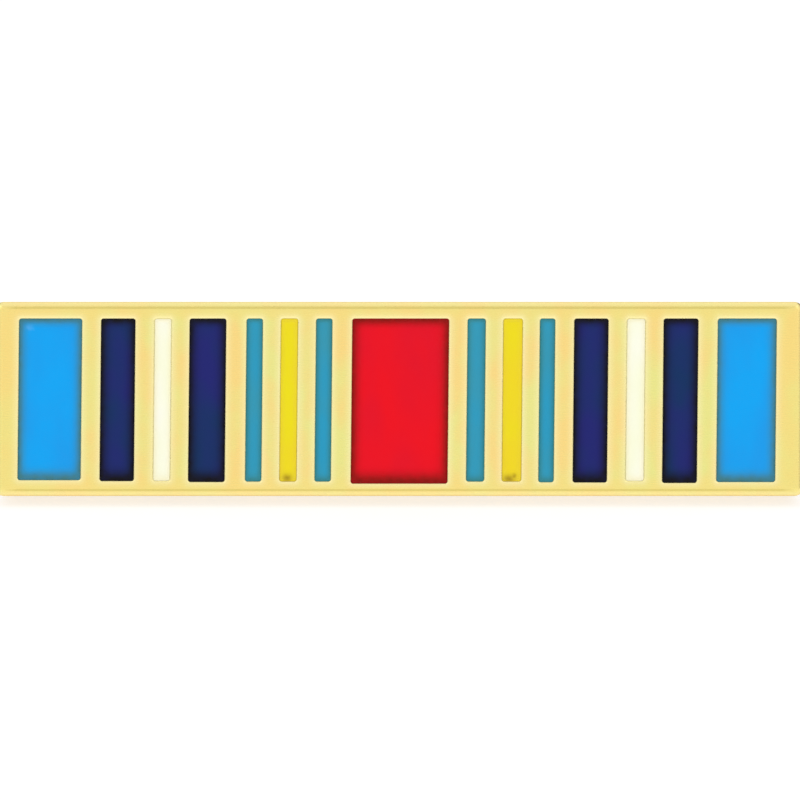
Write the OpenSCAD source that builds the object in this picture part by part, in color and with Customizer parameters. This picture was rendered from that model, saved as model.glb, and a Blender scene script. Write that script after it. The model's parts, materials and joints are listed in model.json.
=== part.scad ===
// Service ribbon lapel pin: a struck, gold-plated base with fifteen cells of coloured enamel.
// Millimetres, +Z up, the face towards -Y. The pin rests on a table as it does by itself:
// on the lower back edge of its plate and on the shoulder of its post's point.
// The origin is on the table, under the middle of the whole part.

/* [Plate] */
// Length of the plate
plate_w = 17.5; // [16:0.5:22]
// Height of the plate
plate_h = 4.2; // [3.8:0.1:5]
// Thickness of the plate, cell walls included
plate_t = 1.2; // [1.1:0.05:1.8]
// Radius of the four corners, seen from the front
corner_r = 0.2; // [0.15:0.05:0.5]
// Radius of the rounding along the front edges
edge_r = 0.12; // [0.05:0.01:0.15]

/* [Cells] */
// Width of the rim above the cells
rim_top = 0.37; // [0.25:0.01:0.5]
// Width of the rim below the cells
rim_bottom = 0.32; // [0.25:0.01:0.5]
// Depth of the cells below the wall tops
cell_depth = 0.45; // [0.3:0.05:0.6]
// Lean of the cells' upright edges, upper end to the right, in degrees
cell_lean = 0.6; // [0:0.1:2]

/* [Enamel] */
// Drop from the wall tops to the enamel's edge
enamel_drop = 0.06; // [0.03:0.01:0.12]
// Further drop from the enamel's edge to its middle
enamel_dish = 0.03; // [0.01:0.005:0.05]
// Gap between the enamel and its cell, all round
enamel_gap = 0.01; // [0.005:0.005:0.02]

/* [Post] */
// Diameter of the shank
post_d = 1.1; // [0.9:0.05:1.3]
// Length from the plate's back to the end of the point
post_len = 8; // [6:0.5:12]
// Diameter of the pad that is soldered to the plate
pad_d = 3.2; // [2.4:0.1:3.6]
// Thickness of the pad
pad_t = 0.4; // [0.3:0.05:0.6]
// Length of the point
tip_len = 1.1; // [0.9:0.1:1.4]
// Diameter of the point's blunt end
tip_d = 0.24; // [0.1:0.02:0.4]
// Width of the grip groove, where a clutch's spring catches
groove_w = 0.5; // [0.4:0.1:0.8]
// Depth of the grip groove
groove_depth = 0.12; // [0.05:0.01:0.15]

/* [Hidden] */
$fn = 96;
// Sides of the large cylinders that dish the enamel
dish_fn = 720;
// Reach of a cutting solid past the face it cuts, and of the pad into the plate
over = 0.1;
// Straight stretch of shank between the groove and the point
collar_len = 0.6;
// Chamfer round the pad, and the solder fillet where the shank leaves the pad
pad_chamfer = 0.12;
fillet = 0.25;

// Stripe colours
BLUE = [0.11, 0.63, 0.95];
NAVY = [0.14, 0.19, 0.42];
WHITE = [0.99, 0.99, 0.90];
TEAL = [0.22, 0.59, 0.73];
YELLOW = [0.93, 0.84, 0.16];
RED = [0.93, 0.10, 0.16];
GOLD = [0.95, 0.87, 0.54];

// The stripes from left to right, on a plate of the nominal length. Each row is the stripe's
// name, its cell's width, the width of the metal wall on its right, how far its cell reaches
// down into the rim below, and its colour.
left_border = 0.54;
STRIPES = [
    ["blue_left", 1.35, 0.42, -0.03, BLUE],
    ["navy_outer_left", 0.73, 0.42, -0.01, NAVY],
    ["white_left", 0.36, 0.40, -0.01, WHITE],
    ["navy_inner_left", 0.78, 0.45, 0.01, NAVY],
    ["teal_outer_left", 0.34, 0.40, 0, TEAL],
    ["yellow_left", 0.36, 0.40, 0, YELLOW],
    ["teal_inner_left", 0.34, 0.44, 0, TEAL],
    ["red_middle", 2.08, 0.41, 0.045, RED],
    ["teal_inner_right", 0.38, 0.39, 0, TEAL],
    ["yellow_right", 0.41, 0.38, 0, YELLOW],
    ["teal_outer_right", 0.32, 0.42, 0.015, TEAL],
    ["navy_inner_right", 0.73, 0.41, 0.02, NAVY],
    ["white_right", 0.39, 0.40, -0.01, WHITE],
    ["navy_outer_right", 0.74, 0.43, 0.03, NAVY],
    ["blue_right", 1.26, 0.62, 0.01, BLUE],
];
NAME = 0;
WIDTH = 1;
WALL = 2;
FOOT = 3;
COLOUR = 4;

// Total of a column's first n rows
function total(column, n) = n == 0 ? 0 : STRIPES[n - 1][column] + total(column, n - 1);
count = len(STRIPES);
nominal_w = left_border + total(WIDTH, count) + total(WALL, count);
stretch = plate_w / nominal_w;

function cell_w(i) = stretch * STRIPES[i][WIDTH];
function cell_left(i) = stretch * (left_border + total(WIDTH, i) + total(WALL, i)) - plate_w / 2;
function cell_x(i) = cell_left(i) + cell_w(i) / 2;
function cell_h(i) = plate_h - rim_top - rim_bottom + STRIPES[i][FOOT];
function cell_z(i) = (rim_bottom - rim_top - STRIPES[i][FOOT]) / 2;

// Outline of a cell, or of what fills it with a gap all round, with its upright edges leaning
function cell_outline(i, gap) =
    let (
        x = cell_x(i),
        z = cell_z(i),
        half_w = cell_w(i) / 2 - gap,
        half_h = cell_h(i) / 2 - gap,
        shift = tan(cell_lean) * half_h
    )
    [
        [x - half_w - shift, z - half_h],
        [x + half_w - shift, z - half_h],
        [x + half_w + shift, z + half_h],
        [x - half_w + shift, z + half_h],
    ];

// Radius of the arc that sags by s over a chord of w
function arc_radius(w, s) = (w * w / 4 + s * s) / (2 * s);

// How the pin rests: the line from the plate's lower back edge to the shoulder lies on the table
post_r = post_d / 2;
shoulder_y = post_len - tip_len;
rest_lean = atan((plate_h / 2 - post_r) / shoulder_y);
rest_lift = plate_h / 2 * cos(rest_lean);
front_y = (edge_r - plate_t) * cos(rest_lean) + (edge_r - plate_h / 2) * sin(rest_lean) - edge_r;
rear_y = post_len * cos(rest_lean) + tip_d / 2 * sin(rest_lean);
rest_shift = -(front_y + rear_y) / 2;

function enamel_name(i) = str("enamel_", STRIPES[i][NAME]);

// Stands its children on the table, from the plate's own frame: x along it, z up it, the post along +y
module resting() {
    translate([0, rest_shift, rest_lift]) rotate([-rest_lean, 0, 0]) children();
}

// Extrudes an outline drawn in x and z from y0 to y1
module slab(y0, y1) {
    translate([0, y1, 0]) rotate([90, 0, 0]) linear_extrude(y1 - y0) children();
}

module rounded_rectangle(w, h, r) {
    square([w - 2 * r, h], center = true);
    square([w, h - 2 * r], center = true);
    for (x = [-1, 1], y = [-1, 1])
        translate([x * (w / 2 - r), y * (h / 2 - r)]) circle(r);
}

// Section of the plate across a side of the given size: square at the back, rounded in front
module edge_section(size) {
    translate([-size / 2, edge_r - plate_t]) square([size, plate_t - edge_r]);
    translate([edge_r - size / 2, -plate_t]) square([size - 2 * edge_r, plate_t]);
    for (x = [-1, 1])
        translate([x * (size / 2 - edge_r), edge_r - plate_t]) circle(edge_r);
}

module plate_blank() {
    intersection() {
        slab(-plate_t, 0) rounded_rectangle(plate_w, plate_h, corner_r);
        translate([0, 0, -plate_h / 2]) linear_extrude(plate_h) edge_section(plate_w);
        rotate([0, 90, 0]) translate([0, 0, -plate_w / 2]) linear_extrude(plate_w)
            edge_section(plate_h);
    }
}

// Half section of the post, turned about its axis: solder pad, fillet, shank, grip groove, point
module post() {
    pad_r = pad_d / 2;
    tip_r = tip_d / 2;
    groove_end = shoulder_y - collar_len;
    rotate([-90, 0, 0]) rotate_extrude() polygon([
        [0, -over],
        [pad_r, -over],
        [pad_r, pad_t - pad_chamfer],
        [pad_r - pad_chamfer, pad_t],
        [post_r + fillet, pad_t],
        [post_r, pad_t + fillet],
        [post_r, groove_end - groove_w],
        [post_r - groove_depth, groove_end - groove_w / 2],
        [post_r, groove_end],
        [post_r, shoulder_y],
        [tip_r, post_len],
        [0, post_len],
    ]);
}

// The struck plate with its cell walls, and the post soldered to its back, as one solid
module metal_base() {
    color(GOLD) resting() {
        difference() {
            plate_blank();
            for (i = [0 : count - 1])
                slab(-plate_t - over, cell_depth - plate_t) polygon(cell_outline(i, 0));
        }
        post();
    }
}

// One cell's enamel: it fills the cell up to just under the walls, and its face is dished from
// wall to wall
module enamel_fill(i) {
    r = arc_radius(cell_w(i), enamel_dish);
    face_y = enamel_drop - plate_t;
    color(STRIPES[i][COLOUR]) resting() difference() {
        slab(face_y, cell_depth - plate_t - enamel_gap) polygon(cell_outline(i, enamel_gap));
        translate([cell_x(i), face_y + enamel_dish - r, cell_z(i)]) rotate([0, cell_lean, 0])
            cylinder(h = plate_h, r = r, center = true, $fn = dish_fn);
    }
}

metal_base();
for (i = [0 : count - 1])
    enamel_fill(i);
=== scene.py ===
"""Looks of the service ribbon lapel pin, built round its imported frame.

The pin's meshes are drawn in millimetres in the plate's own frame: x along the plate, y out of
its back along the post, z up its face. They are then set down in the row's frame, where the pin
leans back as it rests, and keep their plate coordinates for their materials.
"""
import json
import math
from collections import defaultdict, namedtuple

import bmesh
import bpy
import numpy as np
from mathutils import Matrix, Vector, noise
from mathutils.geometry import delaunay_2d_cdt


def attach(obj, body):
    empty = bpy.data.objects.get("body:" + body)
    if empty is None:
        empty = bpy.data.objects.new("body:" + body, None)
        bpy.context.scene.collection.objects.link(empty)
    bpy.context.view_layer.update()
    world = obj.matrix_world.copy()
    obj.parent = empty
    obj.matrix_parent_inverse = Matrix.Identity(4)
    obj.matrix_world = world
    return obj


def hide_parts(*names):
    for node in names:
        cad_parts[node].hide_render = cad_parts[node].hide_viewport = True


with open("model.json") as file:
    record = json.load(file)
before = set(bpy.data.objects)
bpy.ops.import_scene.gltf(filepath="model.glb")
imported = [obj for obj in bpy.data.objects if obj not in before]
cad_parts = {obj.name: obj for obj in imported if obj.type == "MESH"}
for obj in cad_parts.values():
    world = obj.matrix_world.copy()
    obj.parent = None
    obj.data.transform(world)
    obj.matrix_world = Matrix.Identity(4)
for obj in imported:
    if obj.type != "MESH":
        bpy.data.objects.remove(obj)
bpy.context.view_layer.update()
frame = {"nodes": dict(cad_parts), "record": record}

MM = 0.001
SLIVER = 1e-7             # area in mm2 under which a triangle is taken as none
MERGE = 1e-6              # distance in mm under which two points are taken as one

# Metal, in millimetres
WALL_ROUNDING = 0.02      # how far the rounding of a cell wall's top reaches
WALL_ROUNDING_STEPS = 5
CELL_CORNER = 0.045       # corner radius of a cell, seen from the front
LEAST_CORNER = 0.004
CELL_DEPTH = 0.45
WALL_RING = 0.2           # depth of the ring partway down a cell's wall
DRAFT = 0.06              # how far a cell wall leans in for each millimetre of depth
CROWN = 0.004             # how much lower a wall's top lies along its edges
CROWN_REACH = 0.17
ROLL = 0.008              # how much further its edges are rolled down by polishing
ROLL_REACH = 0.03
ROLL_LEAN = math.degrees(math.atan(ROLL / ROLL_REACH))
EDGE_DEPTH = CROWN + ROLL
ROLL_RINGS = (0, 0.012, 0.03, 0.055)
PLATE_CORNER = 0.2
PLATE_CORNER_STEPS = 8
FRONT_ROUNDING = 0.12
FRONT_ROUNDING_STEPS = 8
SIDE_RINGS = (0.15, 0.4, 0.65, 0.9, 1)    # shares of the way along the plate's sides
BACK_ROUNDING = 0.05
BACK_ROUNDING_STEPS = 4
TRIM_LINE = 0.135         # fine groove along the rim, measured in from the plate's edge
TRIM_DEPTH = 0.005
TRIM_REACH = 0.012
# how far the painted shade along the rim's groove reaches
TRIM_SHADE_REACH = 1.8 * TRIM_REACH
TRIM_RINGS = (0.12, 0.125, 0.13, 0.135, 0.14, 0.146, 0.153, 0.161, 0.171)
TRIM_ENDS = (0.2, 0.5)    # it runs out between these distances from the plate's ends
FRONT_STEP = 0.075        # spacing of the points that fill the front
BACK_STEP = 0.2
GRID_CLEAR = 0.02         # how far those points stay clear of the rings round them

# Where the metal's looks change, as (from, to) in millimetres below the front plane
LAPPED_DEPTHS = (0.015, 0.06)
SUNK_DEPTHS = (0.025, 0.09)
HIGHLIGHT_DEPTHS = (0.04, 0.12)
SIDE_DEPTHS = (0.08, 0.14)
BACK_DEPTHS = (0.2, 0.5)
TRIM_SHADE_DEPTH = 0.03    # the painted shade in the rim's groove goes no deeper
TURNED_HEIGHTS = (0.02, 0.15)             # from the back, for the pad and post

# Where they change across the plate, in millimetres
END_BORDER = 0.5
RIM_BORDER = 0.36
BORDER_BLEND = (-0.12, 0.05)
SIDE_BLEND = (-0.04, -0.01)
HIGHLIGHT_REACH = 0.08
HIGHLIGHT_STEEPNESS = 1.5
CELL_SLACK = 0.002        # a point is taken as in a cell up to this far outside its outline
FLOOR_SLACK = 0.01        # and up to this far under its floor

# Post, in millimetres
POST_SIDES = 72
SOLDER_REACH = 1.78       # where the solder runs out on the plate's back
SOLDER_WOBBLE = 0.05
SOLDER_RINGS = (          # radius, distance from the back, share of the wobble
    (1.73, 0.018, 0.9), (1.68, 0.05, 0.7), (1.635, 0.095, 0.4), (1.607, 0.16, 0),
)
PAD_R = 1.6
PAD_T = 0.4
PAD_SIDE_RINGS = (0.22, 0.29)             # distances from the back
PAD_EDGE = 0.09
PAD_EDGE_STEPS = 4
PAD_FACE_RINGS = (1.3, 1.0)               # radii
PAD_SINK = 0.004          # how far the pad's face sinks inside its edge
FILLET = 0.25             # where the shank leaves the pad
FILLET_STEPS = 5
SHANK_R = 0.55
SHANK_START = 0.9         # where its evenly spaced rings start
SHANK_STEPS = 8
GROOVE_RINGS = (          # distance from the grip groove's middle, radius
    (0.3, SHANK_R), (0.25, SHANK_R), (0.225, 0.535), (0.07, 0.46), (0.03, 0.437), (0, 0.433),
)
GROOVE_TO_POINT = 0.85    # from the groove's middle to the point's shoulder
POINT_LEN = 1.1
POINT_TAPER = 0.43        # how much the radius shrinks along the point
POINT_RINGS = (0.25, 0.5, 0.75)
SHOULDER_RINGS = (        # distance past the shoulder, radius
    (-0.06, SHANK_R), (-0.02, 0.547), (0.02, 0.538), (0.07, 0.52),
)
NOSE = 0.1                # rounding of the point's end
NOSE_CENTRE_R = 0.052
NOSE_TURNS = (68.6, 55, 41, 27, 13, 0)    # degrees from the post's axis

# Enamel, in millimetres
ENAMEL_GAP = 0.01         # gap between the frame's fills and their cells
SEAM = 0.003              # gap between the enamel shown here and its cell
EDGE_DROP = 0.06          # from the front plane to the enamel's edge, its meniscus left out
DISH = 0.03
DISH_ENDS = 8             # how abruptly the dish ends at a cell's top and foot
MENISCUS_RISE = 0.022
MENISCUS_REACH = 0.03
ENAMEL_STEP = 0.07
ENAMEL_INSETS = (0.006, 0.013, 0.022, 0.034, 0.05, 0.07, 0.095)
RIPPLE = 0.0016
CALM_REACH = 0.12         # along the walls the ripple dies out
FLECK_PIT = 0.012
SIDE_STEEPNESS = 1.8      # how abruptly the painted shade along a cell's sides ends
END_STEEPNESS = 2.4       # and along its top and foot
FOOT_REACH = 1.6          # how many times further that painted shade reaches at the foot

# View of the photo, in its 800 by 800 frame, with the lens and sensor in millimetres
PHOTO_SIZE = 800
PX_PER_MM = 46.36
PIN_CENTRE_PX = (399.0, 398.9)
LENS = 120
SENSOR = 36

# Studio, in metres, with the softboxes' azimuth and elevation in degrees
FLOOR_HALF = 1.5
FLOOR_GLOW = 0.69         # light that the floor gives off
LIGHT_DISTANCE = 0.6
Softbox = namedtuple("Softbox", "name azimuth elevation width height radiance")
SOFTBOXES = (
    Softbox("front_softbox", 0, 16, 1.0, 0.8, 0.66),
    Softbox("top_softbox", 0, 90, 0.9, 0.9, 0.66),
    Softbox("left_softbox", -68, 33, 0.64, 0.6, 0.61),
    Softbox("right_softbox", 68, 33, 0.64, 0.6, 0.57),
    Softbox("back_softbox", 180, 32, 0.5, 0.5, 0.7),
)
SURROUND = 0.32           # radiance of the room round the softboxes


# Colours

def srgb(red, green, blue):
    """A colour from its 0 to 255 values, as the renderer's linear ones."""
    def linear(value):
        share = value / 255
        return share / 12.92 if share <= 0.04045 else ((share + 0.055) / 1.055) ** 2.4
    return (linear(red), linear(green), linear(blue), 1)


# Colours of the enamel's face, of its cloudy patches and of the painted shade along the walls,
# how strong that painted shade is, and how far it reaches in millimetres
Glaze = namedtuple("Glaze", "face cast edge shading line")
GLAZES = {
    "blue": Glaze(srgb(8, 165, 244), srgb(22, 156, 237), srgb(66, 122, 128), 0.95, 0.115),
    "navy": Glaze(srgb(10, 47, 96), srgb(30, 34, 112), srgb(10, 6, 14), 1.0, 0.13),
    "white": Glaze(srgb(255, 255, 240), srgb(252, 254, 224), srgb(252, 240, 188), 0.5, 0.07),
    "teal": Glaze(srgb(40, 157, 198), srgb(54, 154, 182), srgb(56, 130, 134), 0.85, 0.07),
    "yellow": Glaze(srgb(240, 225, 20), srgb(242, 217, 34), srgb(236, 208, 70), 0.4, 0.07),
    "red": Glaze(srgb(238, 2, 26), srgb(229, 4, 34), srgb(138, 8, 0), 1.0, 0.13),
}
FLECK_BROWN = srgb(168, 138, 24)
FLECK_STRENGTH = 0.9
# A small painted highlight on the enamel
GLINT_WHITE = srgb(150, 205, 250)
GLINT_STRENGTH = 0.3

# Front of the gold plate, and the tints that its mesh's attributes lay over it at a strength
GOLD_PALE = srgb(236, 231, 141)
GOLD_WARM = srgb(250, 218, 134)
GOLD_TINTS = (
    ("rim", 0.5, srgb(248, 223, 130)),
    # painted highlight along the walls' edges
    ("painted_highlight", 0.7, srgb(254, 244, 188)),
    # painted shade in the rim's fine groove
    ("trim_shade", 0.75, srgb(212, 193, 104)),
    # painted shade down in the cells
    ("recess_shade", 1.0, srgb(184, 144, 66)),
)

# Its back, and how much of the front's colour the back covers
GOLD_BACK = srgb(238, 205, 116)
# painted shade in the hollows of the back's and sides' relief
GOLD_PIT_SHADE = srgb(220, 178, 92)
GOLD_POST = srgb(236, 200, 112)
BACK_COVER = 0.85

PAPER_DARK = srgb(168, 168, 168)
PAPER_PALE = srgb(172, 172, 172)


def placement():
    """Where the plate's own frame lies in the row's frame, in metres."""
    mounts = {mount["name"]: mount for mount in frame["record"]["mounts"]}
    x_axis = Vector((1, 0, 0))
    y_axis = Vector(mounts["post"]["axis"]).normalized()
    turn = Matrix((x_axis, y_axis, x_axis.cross(y_axis))).transposed()
    origin = Vector(mounts["back_face"]["pos_m"])
    origin.x = 0
    return Matrix.Translation(origin) @ turn.to_4x4()


PLACE = placement()


def plate_points(node):
    """A frame node's points in the plate's own frame, in millimetres."""
    to_plate = PLACE.inverted()
    return np.array([to_plate @ v.co for v in frame["nodes"][node].data.vertices]) / MM


Cell = namedtuple("Cell", "node colour x z half_w half_h lean")


def read_cell(node):
    """The cell round a frame's enamel fill. Its upright edges may lean."""
    points = plate_points(node)
    x, z = points[:, 0], points[:, 2]
    low, high = z.min(), z.max()
    foot, head = x[z < low + ENAMEL_GAP], x[z > high - ENAMEL_GAP]
    return Cell(
        node=node,
        colour=node.split("_")[1],
        x=(foot.min() + head.max()) / 2,
        z=(low + high) / 2,
        half_w=(foot.max() - foot.min()) / 2 + ENAMEL_GAP,
        half_h=(high - low) / 2 + ENAMEL_GAP,
        lean=(head.min() - foot.min()) / (high - low),
    )


BASE = plate_points("metal_base")
PLATE_HALF_W = BASE[:, 0].max()
PLATE_HALF_H = BASE[:, 2].max()
FRONT = BASE[:, 1].min()
POST_END = BASE[:, 1].max()
CELLS = sorted(
    (read_cell(node) for node in frame["nodes"] if node.startswith("enamel_")),
    key=lambda cell: cell.x,
)


# Outlines on the plate, as (x, z) pairs

def rounded_loop(half_w, half_h, radius, across, up, corner=5):
    """Points anticlockwise round a rectangle with rounded corners.

    Straight sides are cut into across or up stretches, and each corner into corner stretches.
    """
    arcs = []
    for side_x, side_z, start in ((1, -1, -90), (1, 1, 0), (-1, 1, 90), (-1, -1, 180)):
        turns = np.radians(start + np.linspace(0, 90, corner + 1))
        centre = (side_x * (half_w - radius), side_z * (half_h - radius))
        arcs.append(np.column_stack([np.cos(turns), np.sin(turns)]) * radius + centre)
    points = []
    for i, arc in enumerate(arcs):
        stretches = up if i % 2 == 0 else across
        shares = np.linspace(0, 1, stretches + 1)[1:-1, None]
        points += [arc, arc[-1] + (arcs[(i + 1) % 4][0] - arc[-1]) * shares]
    return np.vstack(points)


def box_distance(points, half_w, half_h, radius):
    """Distance from each point to a rounded rectangle's edge, negative inside."""
    past = np.abs(points) - (half_w - radius, half_h - radius)
    outside = np.linalg.norm(np.maximum(past, 0), axis=1)
    return outside + np.minimum(past.max(axis=1), 0) - radius


def to_cell(cell, points):
    """Points on the plate, in the cell's own frame, where its leaning edges are upright."""
    z = points[:, 1] - cell.z
    return np.column_stack([points[:, 0] - cell.x - cell.lean * z, z])


def from_cell(cell, points):
    """Points in the cell's own frame, on the plate."""
    z = points[:, 1]
    return np.column_stack([points[:, 0] + cell.x + cell.lean * z, z + cell.z])


def cell_loop(cell, grow):
    """The cell's outline, moved outwards by grow."""
    radius = max(CELL_CORNER + grow, LEAST_CORNER)
    across = max(3, round(2 * cell.half_w / FRONT_STEP))
    up = round(2 * cell.half_h / FRONT_STEP)
    loop = rounded_loop(cell.half_w + grow, cell.half_h + grow, radius, across, up)
    return from_cell(cell, loop)


def cell_distance(cell, points, grow):
    """Distance from each point to the cell's outline, moved outwards by grow."""
    return box_distance(
        to_cell(cell, points), cell.half_w + grow, cell.half_h + grow, CELL_CORNER + grow
    )


def plate_loop(inset):
    """The plate's outline, moved inwards by inset."""
    half_w, half_h = PLATE_HALF_W - inset, PLATE_HALF_H - inset
    across = round(PLATE_HALF_W / FRONT_STEP)
    up = round(PLATE_HALF_H / FRONT_STEP)
    return rounded_loop(
        half_w, half_h, PLATE_CORNER - inset, across, up, corner=PLATE_CORNER_STEPS
    )


def plate_distance(points, inset):
    """Distance from each point to the plate's outline, moved inwards by inset."""
    half_w, half_h = PLATE_HALF_W - inset, PLATE_HALF_H - inset
    return box_distance(points, half_w, half_h, PLATE_CORNER - inset)


def regions(triangles, borders):
    """Parts the triangles into groups that hang together without crossing a border."""
    sharing = defaultdict(list)
    for number, (a, b, c) in enumerate(triangles):
        for edge in (frozenset((a, b)), frozenset((b, c)), frozenset((c, a))):
            if edge not in borders:
                sharing[edge].append(number)
    beside = defaultdict(list)
    for pair in sharing.values():
        for number in pair:
            beside[number] += pair
    waiting, found = set(range(len(triangles))), []
    while waiting:
        group, reached = [], [waiting.pop()]
        while reached:
            group.append(reached.pop())
            following = waiting.intersection(beside[group[-1]])
            waiting -= following
            reached += following
        found.append(group)
    return found


def triangulate(loops, inner=np.empty((0, 2)), keep=lambda centre: True):
    """Triangles between closed loops and through the inner points.

    The loops part them into regions, and a region stays where keep(centre) holds for its
    largest triangle. A region of slivers along a straight side never stays.
    """
    points = np.vstack([*loops, inner])
    edges, start = [], 0
    for loop in loops:
        edges += [(start + i, start + (i + 1) % len(loop)) for i in range(len(loop))]
        start += len(loop)
    found = delaunay_2d_cdt([Vector(point) for point in points], edges, [], 0, MERGE)
    faces, origins = found[2:4]
    numbers = [origin[0] for origin in origins]
    triangles = [[numbers[i] for i in face] for face in faces]
    corners = points[np.array(triangles)]
    (ax, az), (bx, bz) = (corners[:, 1] - corners[:, 0]).T, (corners[:, 2] - corners[:, 0]).T
    areas = np.abs(ax * bz - az * bx) / 2
    kept = []
    for group in regions(triangles, {frozenset(edge) for edge in edges}):
        largest = max(group, key=lambda number: areas[number])
        if areas[largest] > SLIVER and keep(corners[largest].mean(axis=0)):
            kept += [triangles[number] for number in sorted(group)]
    return kept


class Shell:
    """Collects the points and faces of one closed surface."""

    def __init__(self):
        self.points = []
        self.faces = []

    def add(self, outline, y):
        """Adds (x, z) points at one depth or at a depth each, and returns their numbers."""
        start = len(self.points)
        depths = np.broadcast_to(y, len(outline))
        self.points += [(x, depth, z) for (x, z), depth in zip(outline, depths)]
        return list(range(start, len(self.points)))

    def bridge(self, ring, following):
        """Joins two rings with the same number of points."""
        for i in range(len(ring)):
            j = (i + 1) % len(ring)
            self.faces.append((ring[i], ring[j], following[j], following[i]))
        return following

    def fill(self, numbers, triangles):
        """Adds triangles that are given by places in the list of point numbers."""
        self.faces += [[numbers[i] for i in triangle] for triangle in triangles]

    def build(self, name, attributes):
        """Makes the object, with float attributes worked out from its points."""
        points = np.array(self.points)
        mesh = bpy.data.meshes.new(name)
        mesh.from_pydata([PLACE @ Vector(point) for point in points * MM], [], self.faces)
        shape = bmesh.new()
        shape.from_mesh(mesh)
        bmesh.ops.recalc_face_normals(shape, faces=shape.faces)
        shape.to_mesh(mesh)
        shape.free()
        mesh.shade_smooth()
        for key, values in attributes(points).items():
            layer = mesh.attributes.new(key, "FLOAT", "POINT")
            layer.data.foreach_set("value", values.astype(np.float32))
        keep_places(mesh, points)
        return add_object(name, mesh)


def add_object(name, data):
    made = bpy.data.objects.new(name, data)
    bpy.context.scene.collection.objects.link(made)
    return made


def keep_places(mesh, points):
    """Keeps points in millimetres as the coordinates that the mesh's material uses."""
    layer = mesh.attributes.new("place_mm", "FLOAT_VECTOR", "POINT")
    layer.data.foreach_set("vector", np.array(points, np.float32).ravel())


def ripple(points, per_mm, seed):
    """Smooth noise from -1 to 1 at each (x, z) point."""
    return np.array([noise.noise(Vector((x * per_mm, z * per_mm, seed))) for x, z in points])


def smoothstep(low, high, values):
    """From 0 at low and under it to 1 at high and over it."""
    share = np.clip((values - low) / (high - low), 0, 1)
    return share * share * (3 - 2 * share)


def fade(distance, reach, steepness):
    """From 1 at no distance to nearly 0 past the reach."""
    return np.exp(-(np.maximum(distance, 0) / reach) ** steepness)


def mesh_points(columns, rows):
    """The (x, z) points where columns and rows cross."""
    return np.column_stack([part.ravel() for part in np.meshgrid(columns, rows)])


# Metal base

def strip_lines(borders, step):
    """Lines that cut each strip between neighbouring borders into equal parts."""
    lines = []
    for low, high in zip(borders, borders[1:]):
        lines += list(np.linspace(low, high, max(2, round((high - low) / step)) + 1)[:-1])
    return np.array(lines[1:])


def front_grid():
    """Points that fill the rim and the cell walls, in rows that lean and end as the first cell.

    They stay clear of every outline.
    """
    clear = WALL_ROUNDING + ROLL_RINGS[-1]
    sides = [cell.x + way * (cell.half_w + clear) for cell in CELLS for way in (-1, 1)]
    inner_w = PLATE_HALF_W - TRIM_RINGS[-1]
    inner_h = PLATE_HALF_H - TRIM_RINGS[-1]
    cell = CELLS[0]
    foot, head = cell.z - cell.half_h - clear, cell.z + cell.half_h + clear
    rows = strip_lines([-inner_h, foot, head, inner_h], FRONT_STEP)
    columns = strip_lines([-inner_w, *sides, inner_w], FRONT_STEP)
    grid = mesh_points(columns, rows)
    grid[:, 0] += cell.lean * (grid[:, 1] - cell.z)
    off_cells = edge_distance(grid) > ROLL_RINGS[-1] + GRID_CLEAR
    off_trim = plate_distance(grid, TRIM_RINGS[-1]) < -GRID_CLEAR
    return grid[off_cells & off_trim]


def edge_distance(points):
    """Distance from points on the front to the nearest rounding, negative past it."""
    nearest = -plate_distance(points, FRONT_ROUNDING)
    for cell in CELLS:
        nearest = np.minimum(nearest, cell_distance(cell, points, WALL_ROUNDING))
    return nearest


def front_depth(points):
    """Depth of the polished wall tops and rim: slightly crowned, their edges rolled down."""
    away = np.maximum(edge_distance(points), 0)
    crown = CROWN * (1 - np.clip(away / CROWN_REACH, 0, 1)) ** 2
    roll = ROLL * np.exp(-away / ROLL_REACH)
    return FRONT + crown + roll + TRIM_DEPTH * trim_mask(points, TRIM_REACH)


def trim_mask(points, reach):
    """The fine groove, which is plain along the top and the bottom and runs out at the ends."""
    line = np.exp(-(plate_distance(points, TRIM_LINE) / reach) ** 2)
    from_end = PLATE_HALF_W - np.abs(points[:, 0])
    return line * smoothstep(*TRIM_ENDS, from_end)


def rounding(reach, steps, lean=0.0):
    """(how far out, how deep) along an arc that starts with a lean and ends upright."""
    start = math.radians(lean)
    radius = reach / (1 - math.sin(start))
    turns = np.linspace(start, math.pi / 2, steps + 1)[1:]
    return [
        (radius * (math.sin(t) - math.sin(start)), radius * (math.cos(start) - math.cos(t)))
        for t in turns
    ]


def add_front_rings(shell, loops):
    """Joins rings on the front, and returns the first and the last one's numbers."""
    rings = [shell.add(loop, front_depth(loop)) for loop in loops]
    for ring, following in zip(rings, rings[1:]):
        shell.bridge(ring, following)
    return rings[0], rings[-1]


def drafted(depth):
    """How far a cell's outline moves outwards by a depth: less than 0, as its walls lean in."""
    return -DRAFT * (depth - WALL_ROUNDING)


def add_cell_walls(shell, cell, ring):
    """Rounds the wall tops down into a cell and closes its floor."""
    top = FRONT + EDGE_DEPTH
    for out, deep in rounding(WALL_ROUNDING, WALL_ROUNDING_STEPS, ROLL_LEAN):
        ring = shell.bridge(ring, shell.add(cell_loop(cell, WALL_ROUNDING - out), top + deep))
    for depth in (WALL_RING, CELL_DEPTH):
        loop = cell_loop(cell, drafted(depth))
        ring = shell.bridge(ring, shell.add(loop, FRONT + depth))
    shell.fill(ring, triangulate([loop]))


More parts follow.
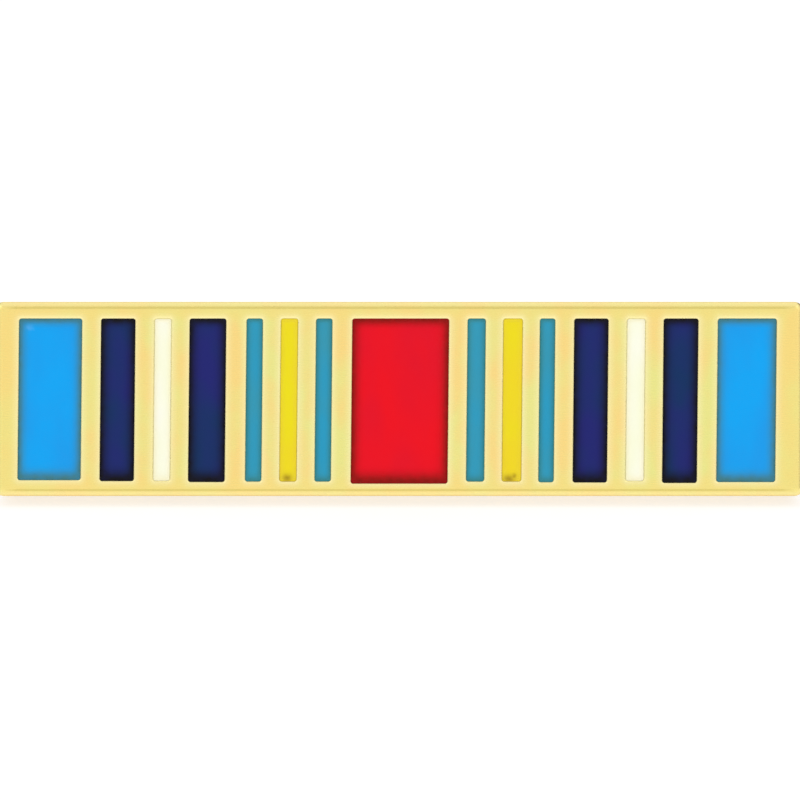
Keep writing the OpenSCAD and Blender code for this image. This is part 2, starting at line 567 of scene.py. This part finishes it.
def add_plate_sides(shell, ring):
    """Rounds the front edge over, runs down the sides and turns onto the back."""
    for out, deep in rounding(FRONT_ROUNDING, FRONT_ROUNDING_STEPS, ROLL_LEAN):
        depth = FRONT + EDGE_DEPTH + deep
        ring = shell.bridge(ring, shell.add(plate_loop(FRONT_ROUNDING - out), depth))
    side_start, side_end = depth, -BACK_ROUNDING
    for share in SIDE_RINGS:
        depth = side_start + share * (side_end - side_start)
        ring = shell.bridge(ring, shell.add(plate_loop(0), depth))
    for turn in np.radians(np.linspace(0, 90, BACK_ROUNDING_STEPS + 1)[1:]):
        inset = BACK_ROUNDING * (1 - math.cos(turn))
        depth = side_end + BACK_ROUNDING * math.sin(turn)
        ring = shell.bridge(ring, shell.add(plate_loop(inset), depth))
    return ring


def post_ring(radius, wobble):
    """A ring of the post. The solder's edge wanders by the wobble."""
    turns = np.linspace(0, 2 * math.pi, POST_SIDES, endpoint=False)
    round_points = np.column_stack([np.cos(turns), np.sin(turns)])
    return round_points * (radius + wobble * ripple(round_points, per_mm=1.7, seed=5.0))[:, None]


def pad_profile():
    """The solder round the pad, the pad's side, its rounded edge and its face."""
    profile = [(radius, y, SOLDER_WOBBLE * share) for radius, y, share in SOLDER_RINGS]
    profile += [(PAD_R, y, 0) for y in PAD_SIDE_RINGS]
    for out, deep in reversed(rounding(PAD_EDGE, PAD_EDGE_STEPS)):
        profile.append((PAD_R - PAD_EDGE + out, PAD_T - deep, 0))
    profile.append((PAD_R - PAD_EDGE, PAD_T, 0))
    return profile + [(radius, PAD_T - PAD_SINK, 0) for radius in PAD_FACE_RINGS]


def shank_profile(groove):
    """The fillet on the pad, the shank and the grip groove, whose middle lies at groove."""
    profile = []
    for turn in np.radians(np.linspace(0, 90, FILLET_STEPS + 1)):
        radius = SHANK_R + FILLET * (1 - math.sin(turn))
        profile.append((radius, PAD_T + FILLET * (1 - math.cos(turn)), 0))
    shank = np.linspace(SHANK_START, groove - GROOVE_RINGS[0][0], SHANK_STEPS + 1)[:-1]
    profile += [(SHANK_R, y, 0) for y in shank]
    profile += [(radius, groove - away, 0) for away, radius in GROOVE_RINGS]
    return profile + [(radius, groove + away, 0) for away, radius in GROOVE_RINGS[-2::-1]]


def point_profile(shoulder):
    """The point with its softened shoulder and its round nose."""
    profile = [(radius, shoulder + past, 0) for past, radius in SHOULDER_RINGS]
    for share in POINT_RINGS:
        profile.append((SHANK_R - POINT_TAPER * share, shoulder + POINT_LEN * share, 0))
    for turn in np.radians(NOSE_TURNS):
        radius = NOSE_CENTRE_R + NOSE * math.sin(turn)
        profile.append((radius, POST_END - NOSE * (1 - math.cos(turn)), 0))
    return profile


def post_profile():
    """(radius, distance from the back, wobble) from the solder's edge to the point's tip."""
    shoulder = POST_END - POINT_LEN
    return pad_profile() + shank_profile(shoulder - GROOVE_TO_POINT) + point_profile(shoulder)


def add_post(shell, ring):
    """Carries on from the solder's edge along the post and closes its tip."""
    for radius, y, wobble in post_profile():
        ring = shell.bridge(ring, shell.add(post_ring(radius, wobble), y))
    tip = shell.add([(0, 0)], POST_END)[0]
    for i in range(len(ring)):
        shell.faces.append((ring[i], ring[(i + 1) % len(ring)], tip))


def metal_attributes(points):
    """How much each point belongs to a part of the surface that has its own look.

    lapped: the wall tops and rim. rim: the rim and end borders. painted_highlight: a painted
    highlight along the walls' edges.
    trim_shade: painted shade in the rim's fine groove. recess_shade: painted shade down in a cell.
    back: the sides, back and post.
    side: the plate's sides. turned: the pad and post.
    """
    flat = points[:, [0, 2]]
    deep = points[:, 1] - FRONT
    to_each = np.array([cell_distance(cell, flat, 0) for cell in CELLS])
    to_cells = to_each.min(axis=0)
    to_side = plate_distance(flat, 0)
    in_cell = (to_cells < CELL_SLACK) & (deep < CELL_DEPTH + FLOOR_SLACK)
    shading = np.array([GLAZES[cell.colour].shading for cell in CELLS])[to_each.argmin(axis=0)]
    past_ends = np.abs(points[:, 0]) - (PLATE_HALF_W - END_BORDER)
    past_rims = np.abs(points[:, 2]) - (PLATE_HALF_H - RIM_BORDER)
    # A painted highlight along the edges of the cells and of the plate
    painted_highlight = fade(np.minimum(to_cells, -to_side), HIGHLIGHT_REACH, HIGHLIGHT_STEEPNESS)
    side = smoothstep(*SIDE_BLEND, to_side) * smoothstep(*SIDE_DEPTHS, deep)
    return {
        "lapped": 1 - smoothstep(*LAPPED_DEPTHS, deep),
        "rim": smoothstep(*BORDER_BLEND, np.maximum(past_ends, past_rims)),
        "painted_highlight": painted_highlight * (1 - smoothstep(*HIGHLIGHT_DEPTHS, deep)),
        "trim_shade": trim_mask(flat, TRIM_SHADE_REACH) * (deep < TRIM_SHADE_DEPTH),
        "recess_shade": smoothstep(*SUNK_DEPTHS, deep) * in_cell * shading,
        "back": np.maximum(side, smoothstep(*BACK_DEPTHS, deep)),
        "side": side,
        "turned": smoothstep(*TURNED_HEIGHTS, points[:, 1]),
    }


def metal_base():
    """The struck plate with its cells, and the post on its back, as one closed mesh."""
    shell = Shell()
    trim_loops = [plate_loop(inset) for inset in TRIM_RINGS]
    rounding_ring, numbers = add_front_rings(shell, trim_loops)
    fill_loops = [trim_loops[-1]]
    for cell in CELLS:
        roll_loops = [cell_loop(cell, WALL_ROUNDING + grow) for grow in ROLL_RINGS]
        wall_ring, fill_ring = add_front_rings(shell, roll_loops)
        add_cell_walls(shell, cell, wall_ring)
        fill_loops.append(roll_loops[-1])
        numbers = numbers + fill_ring
    inner = front_grid()
    numbers = numbers + shell.add(inner, front_depth(inner))

    def on_front(centre):
        return edge_distance(centre[None])[0] > 0

    shell.fill(numbers, triangulate(fill_loops, inner, on_front))
    add_back(shell, add_plate_sides(shell, rounding_ring))
    return shell.build("metal_plate_and_post", metal_attributes)


def add_back(shell, back_ring):
    """Fills the flat back between the plate's edge and the solder, and carries on to the post."""
    edge = plate_loop(BACK_ROUNDING)
    solder = post_ring(SOLDER_REACH, SOLDER_WOBBLE)
    columns = np.arange(-PLATE_HALF_W, PLATE_HALF_W, BACK_STEP)
    rows = np.arange(-PLATE_HALF_H + BACK_STEP / 2, PLATE_HALF_H, BACK_STEP)
    grid = mesh_points(columns, rows)
    off_edge = plate_distance(grid, BACK_ROUNDING) < -BACK_STEP / 2
    off_solder = np.linalg.norm(grid, axis=1) > SOLDER_REACH + BACK_STEP
    inner = grid[off_edge & off_solder]
    numbers = list(back_ring) + shell.add(solder, 0) + shell.add(inner, 0)

    def on_back(centre):
        return np.linalg.norm(centre) > SOLDER_REACH

    shell.fill(numbers, triangulate([edge, solder], inner, on_back))
    add_post(shell, numbers[len(edge):len(edge) + len(solder)])


# Enamel

Mark = namedtuple("Mark", "x z half_w half_h")


def mark_at(x_px, y_px, w_px, h_px):
    """A small mark at a place in the photo."""
    return Mark(
        (x_px - PIN_CENTRE_PX[0]) / PX_PER_MM,
        (PIN_CENTRE_PX[1] - y_px) / PX_PER_MM,
        w_px / PX_PER_MM / 2,
        h_px / PX_PER_MM / 2,
    )


FLECKS = (mark_at(287, 478, 9, 8), mark_at(509, 479, 11, 8), mark_at(514, 476, 5, 5))
# A painted highlight on the blue enamel near the left end
GLINTS = (mark_at(29, 327, 6, 4),)


def marks_mask(points, marks):
    """How much each point belongs to a mark, from 0 to 1."""
    mask = np.zeros(len(points))
    for mark in marks:
        away = (points - (mark.x, mark.z)) / (mark.half_w, mark.half_h)
        mask = np.maximum(mask, np.exp(-(away ** 2).sum(axis=1)))
    return mask


def enamel_depth(cell, points):
    """Depth of the enamel's face: dished between the walls, and climbing a little up them."""
    local = to_cell(cell, points)
    inside = -cell_distance(cell, points, -SEAM)
    dish = DISH * (1 - np.clip(np.abs(local[:, 0]) / cell.half_w, 0, 1) ** 2)
    dish *= 1 - np.clip(np.abs(local[:, 1]) / cell.half_h, 0, 1) ** DISH_ENDS
    climb = MENISCUS_RISE * fade(inside, MENISCUS_REACH, steepness=1)
    waves = ripple(points, per_mm=1.3, seed=2.0) + 0.4 * ripple(points, per_mm=4.0, seed=7.0)
    swell = RIPPLE * smoothstep(0, CALM_REACH, inside) * waves
    pits = FLECK_PIT * marks_mask(points, FLECKS)
    return FRONT + EDGE_DROP + dish - climb + swell + pits


def enamel_attributes(cell):
    """shade: painted shade along the cell's walls. fleck: small marks. glint: a small painted
    highlight.
    """
    def attributes(points):
        flat = points[:, [0, 2]]
        local = to_cell(cell, flat)
        line = GLAZES[cell.colour].line
        sides = fade(cell.half_w - np.abs(local[:, 0]), line, SIDE_STEEPNESS)
        head = fade(cell.half_h - local[:, 1], line, END_STEEPNESS)
        foot = fade(cell.half_h + local[:, 1], FOOT_REACH * line, END_STEEPNESS)
        return {
            "shade": 1 - (1 - sides) * (1 - head) * (1 - foot),
            "fleck": marks_mask(flat, FLECKS),
            "glint": marks_mask(flat, GLINTS),
        }
    return attributes


def enamel_fill(cell):
    """Enamel from just inside its cell's wall tops down to just above the cell's floor."""
    shell = Shell()
    edge = cell_loop(cell, -SEAM)
    rings = [cell_loop(cell, -SEAM - inset) for inset in ENAMEL_INSETS]
    deepest = ENAMEL_INSETS[-1] + ENAMEL_STEP / 2
    lines = [
        np.linspace(-half, half, max(1, round(2 * half / ENAMEL_STEP)) + 1)
        for half in (cell.half_w - deepest, cell.half_h - deepest)
    ]
    inner = np.vstack([*rings, from_cell(cell, mesh_points(*lines))])
    flat = np.vstack([edge, inner])
    numbers = shell.add(flat, enamel_depth(cell, flat))
    shell.fill(numbers, triangulate([edge], inner))
    ring = numbers[:len(edge)]
    for depth in (WALL_RING, CELL_DEPTH - ENAMEL_GAP):
        loop = cell_loop(cell, drafted(depth) - SEAM)
        ring = shell.bridge(ring, shell.add(loop, FRONT + depth))
    shell.fill(ring, triangulate([edge]))
    return shell.build(cell.node + "_glaze", enamel_attributes(cell))


# Materials

class Nodes:
    """A material's nodes. Inputs are set by name, to a value or from another node's output."""

    def __init__(self, name):
        self.material = bpy.data.materials.new(name)
        self.material.use_nodes = True
        self.tree = self.material.node_tree
        self.tree.nodes.clear()

    def put(self, socket, value):
        if isinstance(value, bpy.types.NodeSocket):
            self.tree.links.new(value, socket)
        else:
            socket.default_value = value

    def add(self, kind, settings=None, **inputs):
        """A new node. An underscore in an input's name stands for a space."""
        made = self.tree.nodes.new("ShaderNode" + kind)
        for name, value in (settings or {}).items():
            setattr(made, name, value)
        for name, value in inputs.items():
            self.put(made.inputs[name.replace("_", " ")], value)
        return made

    def math(self, operation, first, second=0.0):
        made = self.add("Math", {"operation": operation})
        self.put(made.inputs[0], first)
        self.put(made.inputs[1], second)
        return made.outputs[0]

    def mix(self, share, first, second, kind="RGBA"):
        """Between two colours, or between two numbers where kind is FLOAT."""
        start, result = {"RGBA": (6, 2), "FLOAT": (2, 0)}[kind]
        made = self.add("Mix", {"data_type": kind})
        self.put(made.inputs[0], share)
        self.put(made.inputs[start], first)
        self.put(made.inputs[start + 1], second)
        return made.outputs[result]

    def spread(self, value, low, high, to_low=0.0, to_high=1.0):
        """Maps a value's range from low to high on to another range."""
        made = self.add(
            "MapRange", Value=value, From_Min=low, From_Max=high, To_Min=to_low, To_Max=to_high
        )
        return made.outputs[0]

    def attribute(self, name):
        return self.add("Attribute", {"attribute_name": name}).outputs["Fac"]

    def tint(self, colour, attribute, strength, tint):
        """A colour with a tint where the mesh's attribute says so."""
        return self.mix(self.math("MULTIPLY", self.attribute(attribute), strength), colour, tint)

    def grain(self, per_mm, detail=2.0, roughness=0.5, shift=0.0):
        """Noise from 0 to 1, with per_mm features to the millimetre along x, y and z."""
        place = self.add("Attribute", {"attribute_name": "place_mm"}).outputs["Vector"]
        placed = self.add("Mapping", Vector=place, Scale=per_mm, Location=(shift, shift, shift))
        made = self.add(
            "TexNoise", Vector=placed.outputs[0], Scale=1.0, Detail=detail, Roughness=roughness
        )
        return made.outputs[0]

    def bump(self, height, depth_mm, normal=None):
        """Relief from a height of 0 to 1, laid over another relief's normal."""
        made = self.add("Bump", Strength=1.0, Distance=depth_mm * MM, Height=height)
        if normal is not None:
            self.put(made.inputs["Normal"], normal)
        return made.outputs[0]

    def surface(self, **inputs):
        shader = self.add("BsdfPrincipled", **inputs)
        self.add("OutputMaterial", Surface=shader.outputs[0])
        return self.material


def gold_colour(nodes, back, turned, texture):
    """Pale and warm patches on the front with the tints over them, and a plainer back and post."""
    patches = nodes.grain((1.1, 1.1, 0.7), detail=3.0)
    front = nodes.mix(nodes.spread(patches, low=0.38, high=0.62), GOLD_PALE, GOLD_WARM)
    for attribute, strength, tint in GOLD_TINTS:
        front = nodes.tint(front, attribute, strength, tint)
    # Darker where the relief's noise is low, in its hollows: painted shade
    behind = nodes.mix(nodes.spread(texture, low=0.3, high=0.62), GOLD_PIT_SHADE, GOLD_BACK)
    behind = nodes.mix(turned, behind, GOLD_POST)
    return nodes.mix(nodes.math("MULTIPLY", back, BACK_COVER), front, behind)


def gold_plate():
    """Pale gold plate: lapped wall tops with fine lines, a plainer, duller back and post."""
    nodes = Nodes("gold_plate")
    back, side, turned = (nodes.attribute(name) for name in ("back", "side", "turned"))
    struck = nodes.math("SUBTRACT", nodes.math("SUBTRACT", back, turned), side)
    lapping = nodes.grain((3.0, 20.0, 90.0), detail=3.0, roughness=0.6)
    pebbles = nodes.grain((6.0, 6.0, 6.0), detail=3.0, shift=3.0)
    streaks = nodes.grain((34.0, 1.6, 34.0), detail=3.0, roughness=0.6, shift=7.0)
    rings = nodes.grain((0.6, 26.0, 0.6), detail=3.0, roughness=0.6, shift=5.0)
    texture = nodes.mix(side, pebbles, streaks, kind="FLOAT")
    bright = nodes.spread(lapping, low=0.3, high=0.7, to_low=0.24, to_high=0.34)
    dull = nodes.spread(texture, low=0.3, high=0.7, to_low=0.34, to_high=0.48)
    relief = nodes.bump(nodes.grain((1.1, 1.1, 1.1), detail=1.0, shift=9.0), depth_mm=0.004)
    for height, share, depth_mm in (
        (lapping, nodes.attribute("lapped"), 0.0006),
        (pebbles, struck, 0.016),
        (streaks, side, 0.003),
        (rings, turned, 0.0015),
    ):
        relief = nodes.bump(nodes.math("MULTIPLY", height, share), depth_mm, relief)
    return nodes.surface(
        Base_Color=gold_colour(nodes, back, turned, texture),
        Metallic=1.0,
        Roughness=nodes.mix(back, bright, dull, kind="FLOAT"),
        Normal=relief,
    )


def enamel(colour):
    """Glossy soft enamel, with painted shade along the walls."""
    glaze = GLAZES[colour]
    nodes = Nodes("enamel_" + colour)
    clouds = nodes.grain((1.0, 1.0, 0.6))
    face = nodes.mix(nodes.spread(clouds, low=0.35, high=0.65), glaze.face, glaze.cast)
    # Painted shade along the walls, made a little uneven
    mottle = nodes.grain((6.0, 6.0, 6.0))
    uneven = nodes.spread(mottle, low=0.3, high=0.7, to_low=0.9, to_high=1.07)
    shade = nodes.math("MULTIPLY", nodes.attribute("shade"), uneven)
    face = nodes.mix(nodes.math("MULTIPLY", shade, glaze.shading), face, glaze.edge)
    face = nodes.tint(face, "fleck", FLECK_STRENGTH, FLECK_BROWN)
    # Painted highlight
    face = nodes.tint(face, "glint", GLINT_STRENGTH, GLINT_WHITE)
    fine = nodes.grain((30.0, 30.0, 30.0), shift=4.0)
    peel = nodes.grain((6.0, 6.0, 6.0), detail=1.0, roughness=0.4, shift=6.0)
    return nodes.surface(
        Base_Color=face,
        Roughness=nodes.spread(fine, low=0.3, high=0.7, to_low=0.1, to_high=0.17),
        Specular_IOR_Level=0.12,
        Normal=nodes.bump(fine, depth_mm=0.00008, normal=nodes.bump(peel, depth_mm=0.0012)),
    )


def paper():
    """The pale floor, lit a little from below as a light table is."""
    nodes = Nodes("paper")
    return nodes.surface(
        Base_Color=nodes.mix(nodes.grain((0.5, 0.5, 0.5), detail=4.0), PAPER_DARK, PAPER_PALE),
        Roughness=0.9,
        Specular_IOR_Level=0.1,
        Emission_Color=(1, 1, 1, 1),
        Emission_Strength=FLOOR_GLOW,
    )


# Stage

def floor():
    """The pale sheet that the pin rests on, which is no part of it."""
    mesh = bpy.data.meshes.new("floor")
    sides = ((-1, -1), (1, -1), (1, 1), (-1, 1))
    corners = [(side_x * FLOOR_HALF, side_y * FLOOR_HALF, 0) for side_x, side_y in sides]
    mesh.from_pydata(corners, [], [(0, 1, 2, 3)])
    keep_places(mesh, np.array(corners) / MM)
    mesh.materials.append(paper())
    add_object("floor", mesh)


def softbox(box):
    """A rectangular light aimed at the pin. Azimuth 0 is in front of it."""
    turn, lift = math.radians(box.azimuth), math.radians(box.elevation)
    away = Vector((
        math.sin(turn) * math.cos(lift), -math.cos(turn) * math.cos(lift), math.sin(lift)
    ))
    light = bpy.data.lights.new(box.name, "AREA")
    light.shape = "RECTANGLE"
    light.size = box.width
    light.size_y = box.height
    light.energy = box.radiance * math.pi * box.width * box.height
    made = add_object(box.name, light)
    made.location = away * LIGHT_DISTANCE
    made.rotation_mode = "QUATERNION"
    made.rotation_quaternion = away.to_track_quat("Z", "Y")


def lights():
    """The softboxes, and a plain white room that fills in between them."""
    for box in SOFTBOXES:
        softbox(box)
    world = bpy.data.worlds.new("studio")
    world.use_nodes = True
    background = world.node_tree.nodes["Background"]
    background.inputs["Color"].default_value = (1, 1, 1, 1)
    background.inputs["Strength"].default_value = SURROUND
    bpy.context.scene.world = world
    bpy.context.scene.view_settings.view_transform = "Standard"


def camera():
    """Square on to the face, as in the photo, and framed as it is there."""
    half_frame = PHOTO_SIZE / 2
    aim = Vector((
        (half_frame - PIN_CENTRE_PX[0]) / PX_PER_MM,
        FRONT,
        (PIN_CENTRE_PX[1] - half_frame) / PX_PER_MM,
    ))
    distance = PHOTO_SIZE / PX_PER_MM * LENS / SENSOR
    data = bpy.data.cameras.new("camera")
    data.lens = LENS
    data.sensor_width = SENSOR
    data.clip_start = 0.005
    data.clip_end = 10
    stand = Matrix.Translation((aim - Vector((0, distance, 0))) * MM)
    facing = Matrix.Rotation(math.radians(90), 4, "X")
    made = add_object("camera", data)
    made.matrix_world = PLACE @ stand @ facing
    bpy.context.scene.camera = made


# Build

base = metal_base()
base.data.materials.append(gold_plate())
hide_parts("metal_base")
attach(base, "root")

enamels = {colour: enamel(colour) for colour in GLAZES}
for cell in CELLS:
    piece = enamel_fill(cell)
    piece.data.materials.append(enamels[cell.colour])
    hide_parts(cell.node)
    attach(piece, "root")

floor()
lights()
camera()
